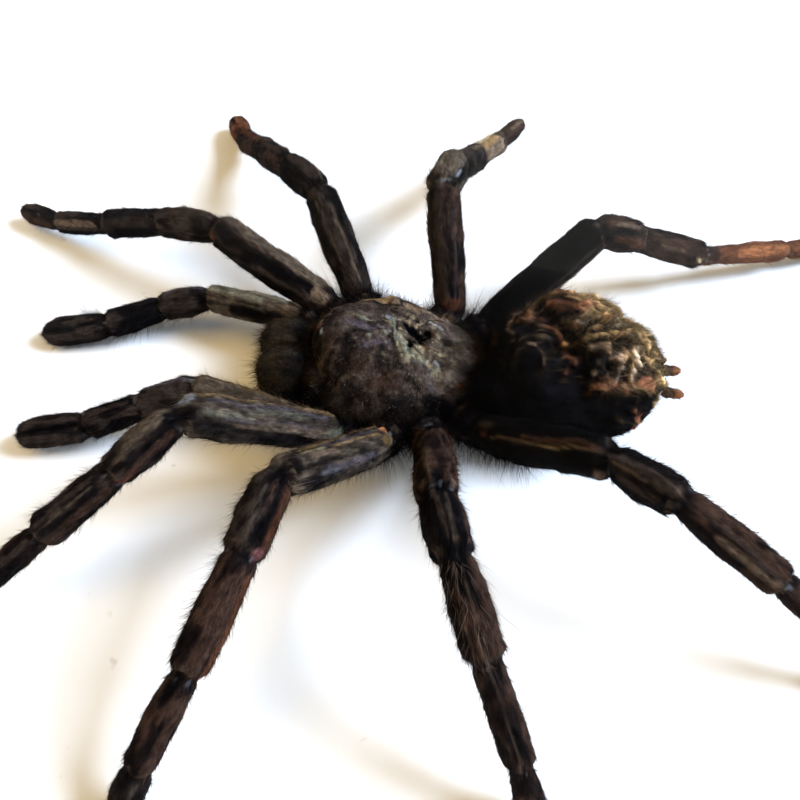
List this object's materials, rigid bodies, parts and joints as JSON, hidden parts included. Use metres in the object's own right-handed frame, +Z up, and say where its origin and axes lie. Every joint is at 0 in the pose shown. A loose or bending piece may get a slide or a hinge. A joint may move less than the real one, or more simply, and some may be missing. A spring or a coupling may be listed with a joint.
{
  "type": "framed tarantula specimen",
  "caption": "Dried tarantula with its legs spread, fixed head up on a white board behind glass in a deep square box frame that stands or hangs.",
  "frame": {"origin": "middle of the frame's underside, on the surface that it stands on", "axes": "+Z up and the way the head points, -Y the way the glass faces, +X to the right of someone who looks at the glass"},
  "size_m": [0.226, 0.05, 0.226],
  "materials": {
    "frame_wood": "black stain, satin",
    "glass": "clear, polished",
    "white_board": "matt white foam board faced with paper",
    "back_board": "raw hardboard",
    "steel": "zinc-plated sheet",
    "carapace": "dried shell under sparse short hair",
    "leg": "dried skin under short dark hair",
    "abdomen": "shrivelled skin with golden-brown folds",
    "fang": "glossy black"
  },
  "bodies": {
    "root": {"frame_rail_bottom": "frame_wood", "frame_rail_right": "frame_wood", "frame_rail_top": "frame_wood", "frame_rail_left": "frame_wood", "glass": "glass", "mount_board": "white_board", "back_board": "back_board", "spacer_bottom": "white_board", "spacer_top": "white_board", "spacer_left": "white_board", "spacer_right": "white_board", "retaining_point_1": "steel", "retaining_point_2": "steel", "retaining_point_3": "steel", "retaining_point_4": "steel", "retaining_point_5": "steel", "retaining_point_6": "steel", "retaining_point_7": "steel", "retaining_point_8": "steel", "hanger": "steel", "hanger_rivet_left": "steel", "hanger_rivet_right": "steel", "carapace": "carapace", "sternum": "carapace", "chelicera_left": "carapace", "chelicera_right": "carapace", "fang_left": "fang", "fang_right": "fang", "abdomen": "abdomen", "spinneret_left": "leg", "spinneret_right": "leg", "pedipalp_left": "leg", "pedipalp_right": "leg", "leg_1_left": "leg", "leg_1_right": "leg", "leg_2_left": "leg", "leg_2_right": "leg", "leg_3_left": "leg", "leg_3_right": "leg", "leg_4_left": "leg", "leg_4_right": "leg"}
  },
  "joints": []
}
